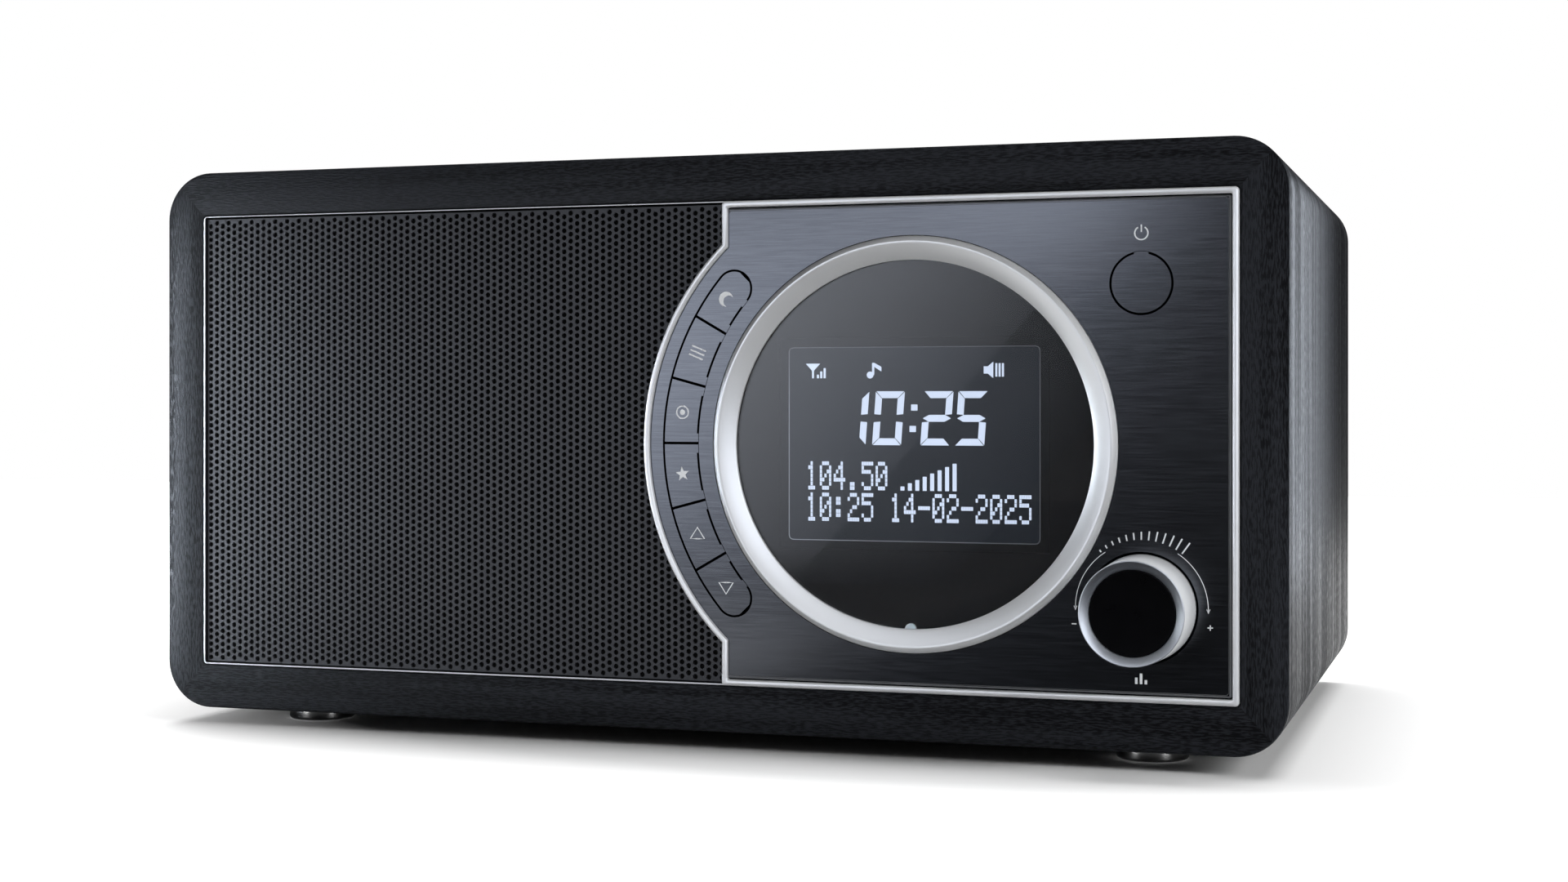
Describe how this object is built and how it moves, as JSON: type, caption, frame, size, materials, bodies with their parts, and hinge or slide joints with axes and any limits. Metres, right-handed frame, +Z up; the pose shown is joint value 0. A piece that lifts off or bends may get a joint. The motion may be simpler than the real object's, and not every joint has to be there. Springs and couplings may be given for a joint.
{
  "type": "tabletop radio",
  "caption": "Wooden tabletop radio with a perforated speaker grille, a round display in a bright ring, an arc of hinged keys, a push knob and a telescopic aerial.",
  "frame": {"origin": "on the table under the middle of the whole object, feet on the ground plane", "axes": "+Z up, the front with the display faces -Y, +X to the right as seen from the front"},
  "size_m": [0.24, 0.1712, 0.1195],
  "materials": {
    "cabinet_wrap": "dark wrap with fine grain on wood board",
    "raw_board": "raw",
    "foot_rubber": "matte",
    "bright_trim": "satin plated",
    "grille_paint": "satin dark grey",
    "brushed_panel": "dark brushed",
    "satin_ring": "satin",
    "tinted_window": "clear dark tint, gloss",
    "light_pipe": "frosted",
    "display_glass": "dark display glass",
    "white_plastic": "matte",
    "black_plastic": "fine texture",
    "knob_metal": "satin",
    "knob_black": "satin black",
    "board_green": "solder mask",
    "component_black": "moulded",
    "plated_steel": "zinc plated",
    "brass": "turned",
    "paper_cone": "pulp paper",
    "black_rubber": "matte",
    "ferrite": "ground",
    "cable_sheath": "sheathed lead",
    "ribbon_grey": "flat ribbon",
    "aerial_chrome": "polished"
  },
  "bodies": {
    "cabinet": {"cabinet_shell": "cabinet_wrap", "corner_blocks": "raw_board", "feet": "foot_rubber", "cabinet_screws": "plated_steel", "front_baffle": "black_plastic", "front_bezel": "bright_trim", "speaker_grille": "grille_paint", "panel_trim": "bright_trim", "control_panel": "brushed_panel", "display_ring": "satin_ring", "display_window": "tinted_window", "status_light": "light_pipe", "lcd_panel": "display_glass", "backlight": "white_plastic", "lcd_holder": "black_plastic", "front_board": "board_green", "key_switches": "component_black", "encoder_body": "plated_steel", "encoder_nut": "plated_steel", "speaker_gasket": "black_rubber", "speaker_basket": "plated_steel", "speaker_surround": "black_rubber", "speaker_cone": "paper_cone", "dust_cap": "paper_cone", "voice_coil": "brass", "speaker_spider": "paper_cone", "speaker_magnet": "ferrite", "speaker_yoke": "plated_steel", "speaker_terminals": "brass", "speaker_screws": "plated_steel", "rear_panel": "black_plastic", "main_board": "board_green", "board_screws": "plated_steel", "board_components": "component_black", "tuner_can": "plated_steel", "audio_jacks": "component_black", "dc_jack": "component_black", "speaker_lead": "cable_sheath", "ribbon_cable": "ribbon_grey", "aerial_lead": "cable_sheath", "aerial_socket": "black_plastic"},
    "push_slider": {"encoder_slider": "component_black"},
    "knob": {"encoder_shaft": "brass", "knob_shell": "knob_metal", "knob_face": "knob_black"},
    "mode": {"mode_button": "brushed_panel"},
    "aerial_base": {"aerial_turret": "aerial_chrome", "aerial_retainer": "plated_steel", "aerial_pin": "plated_steel"},
    "aerial_rod": {"aerial_lower_tube": "aerial_chrome"},
    "aerial_second": {"aerial_second_tube": "aerial_chrome"},
    "aerial_third": {"aerial_third_tube": "aerial_chrome"},
    "aerial_tip": {"aerial_tip_rod": "aerial_chrome"},
    "sleep_key_plate": {"sleep_key": "brushed_panel"},
    "menu_key_plate": {"menu_key": "brushed_panel"},
    "enter_key_plate": {"enter_key": "brushed_panel"},
    "preset_key_plate": {"preset_key": "brushed_panel"},
    "up_key_plate": {"up_key": "brushed_panel"},
    "down_key_plate": {"down_key": "brushed_panel"}
  },
  "joints": [
    {"name": "knob_push", "type": "slide", "parent": "cabinet", "child": "push_slider", "axis": [0, 1, 0], "range_m": [0, 0.0005], "stiffness_N_per_m": 1500, "springref_m": -0.0015},
    {"name": "knob_turn", "type": "hinge", "parent": "push_slider", "child": "knob", "pos_m": [0.0926, -0.08565, 0.03076], "axis": [0, -1, 0], "continuous": true},
    {"name": "sleep_key_press", "type": "hinge", "parent": "cabinet", "child": "sleep_key_plate", "pos_m": [0.01245, -0.07365, 0.08805], "axis": [-0.6047, 0, -0.7965], "range_deg": [0, 3], "stiffness_Nm_per_rad": 0.05, "springref_deg": -3.44},
    {"name": "menu_key_press", "type": "hinge", "parent": "cabinet", "child": "menu_key_plate", "pos_m": [0.00684, -0.07365, 0.07825], "axis": [-0.3815, 0, -0.9244], "range_deg": [0, 3], "stiffness_Nm_per_rad": 0.05, "springref_deg": -3.44},
    {"name": "enter_key_press", "type": "hinge", "parent": "cabinet", "child": "enter_key_plate", "pos_m": [0.00389, -0.07365, 0.06721], "axis": [-0.1301, 0, -0.9915], "range_deg": [0, 3], "stiffness_Nm_per_rad": 0.05, "springref_deg": -3.44},
    {"name": "preset_key_press", "type": "hinge", "parent": "cabinet", "child": "preset_key_plate", "pos_m": [0.00389, -0.07365, 0.05579], "axis": [0.1301, 0, -0.9915], "range_deg": [0, 3], "stiffness_Nm_per_rad": 0.05, "springref_deg": -3.44},
    {"name": "up_key_press", "type": "hinge", "parent": "cabinet", "child": "up_key_plate", "pos_m": [0.00684, -0.07365, 0.04475], "axis": [0.3815, 0, -0.9244], "range_deg": [0, 3], "stiffness_Nm_per_rad": 0.05, "springref_deg": -3.44},
    {"name": "down_key_press", "type": "hinge", "parent": "cabinet", "child": "down_key_plate", "pos_m": [0.01245, -0.07365, 0.03495], "axis": [0.6047, 0, -0.7965], "range_deg": [0, 3], "stiffness_Nm_per_rad": 0.05, "springref_deg": -3.44},
    {"name": "mode_press", "type": "hinge", "parent": "cabinet", "child": "mode", "pos_m": [0.0926, -0.07365, 0.09833], "axis": [1, 0, 0], "range_deg": [0, 2.5], "stiffness_Nm_per_rad": 0.06, "springref_deg": -3.44},
    {"name": "aerial_swivel", "type": "hinge", "parent": "cabinet", "child": "aerial_base", "pos_m": [0.095, 0.08205, 0.0995], "axis": [0, 1, 0], "range_deg": [0, 180]},
    {"name": "aerial_tilt", "type": "hinge", "parent": "aerial_base", "child": "aerial_rod", "pos_m": [0.095, 0.08205, 0.0995], "axis": [0, 0, -1], "range_deg": [0, 90]},
    {"name": "aerial_slide_one", "type": "slide", "parent": "aerial_rod", "child": "aerial_second", "axis": [-1, 0, 0], "range_m": [0, 0.13]},
    {"name": "aerial_slide_two", "type": "slide", "parent": "aerial_second", "child": "aerial_third", "axis": [-1, 0, 0], "range_m": [0, 0.13]},
    {"name": "aerial_slide_three", "type": "slide", "parent": "aerial_third", "child": "aerial_tip", "axis": [-1, 0, 0], "range_m": [0, 0.13]}
  ]
}
